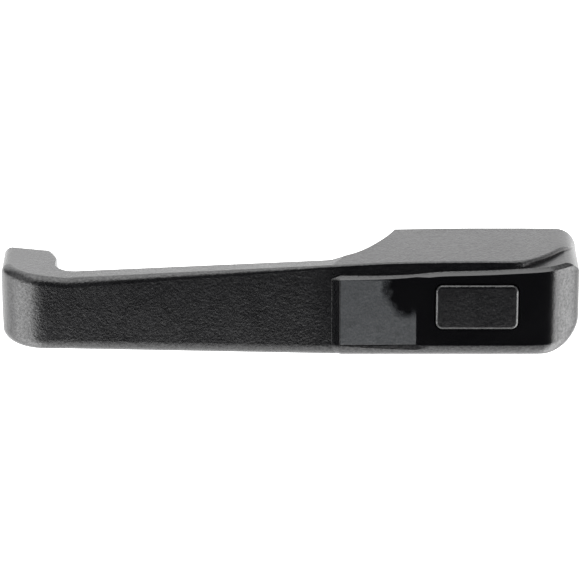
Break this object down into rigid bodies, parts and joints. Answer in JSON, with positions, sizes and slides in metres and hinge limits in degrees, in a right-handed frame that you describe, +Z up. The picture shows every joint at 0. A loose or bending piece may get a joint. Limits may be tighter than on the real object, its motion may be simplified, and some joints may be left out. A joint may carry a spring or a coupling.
{
  "type": "car door handle",
  "caption": "Fixed pull-type exterior door handle with a push button in its raised head, and a release lever behind.",
  "frame": {"origin": "on the door skin, midway between the two mounting studs", "axes": "+X along the bar towards the button end, +Z up, -Y outward from the door, studs point along +Y"},
  "size_m": [0.21, 0.058, 0.037],
  "materials": {
    "black_plastic": "fine moulded grain, satin",
    "button_plastic": "fine moulded grain, satin",
    "seal_rubber": "matt",
    "gasket_rubber": "matt closed-cell sponge",
    "steel_plunger": "turned, bright zinc",
    "steel_fastener": "yellow-clear zinc",
    "steel_pressed": "pressed sheet, zinc",
    "spring_steel": "drawn wire",
    "insert_brass": "turned",
    "bush_nylon": "natural nylon"
  },
  "bodies": {
    "handle": {"handle_body": "black_plastic", "guide_bracket": "steel_pressed", "guide_bushing": "bush_nylon", "bracket_screws": "steel_fastener", "spring_seat": "steel_pressed", "button_spring": "spring_steel", "lever_pin": "steel_fastener", "lever_pin_clip": "spring_steel", "lever_washers": "steel_pressed", "lever_spring": "spring_steel", "front_insert": "insert_brass", "rear_insert": "insert_brass", "front_stud": "steel_fastener", "rear_stud": "steel_fastener", "front_gasket": "gasket_rubber", "rear_gasket": "gasket_rubber"},
    "button": {"push_button": "button_plastic", "button_seal": "seal_rubber", "plunger": "steel_plunger", "plunger_clip": "spring_steel", "adjuster_nut": "steel_fastener", "adjuster_screw": "steel_fastener"},
    "lever": {"release_lever": "steel_pressed", "rod_bush": "bush_nylon"}
  },
  "joints": [
    {"name": "button_push", "type": "slide", "parent": "handle", "child": "button", "axis": [0, 1, 0], "range_m": [0, 0.006], "stiffness_N_per_m": 600, "springref_m": -0.004, "deforming": ["button_spring"]},
    {"name": "lever_turn", "type": "hinge", "parent": "handle", "child": "lever", "pos_m": [0.069, 0.0006, -0.0082], "axis": [-1, 0, 0], "range_deg": [0, 31.3], "deforming": ["lever_spring"]}
  ],
  "couplings": [
    {"joint": "lever_turn", "follows": "button_push", "rad_per_m": 90.909}
  ]
}
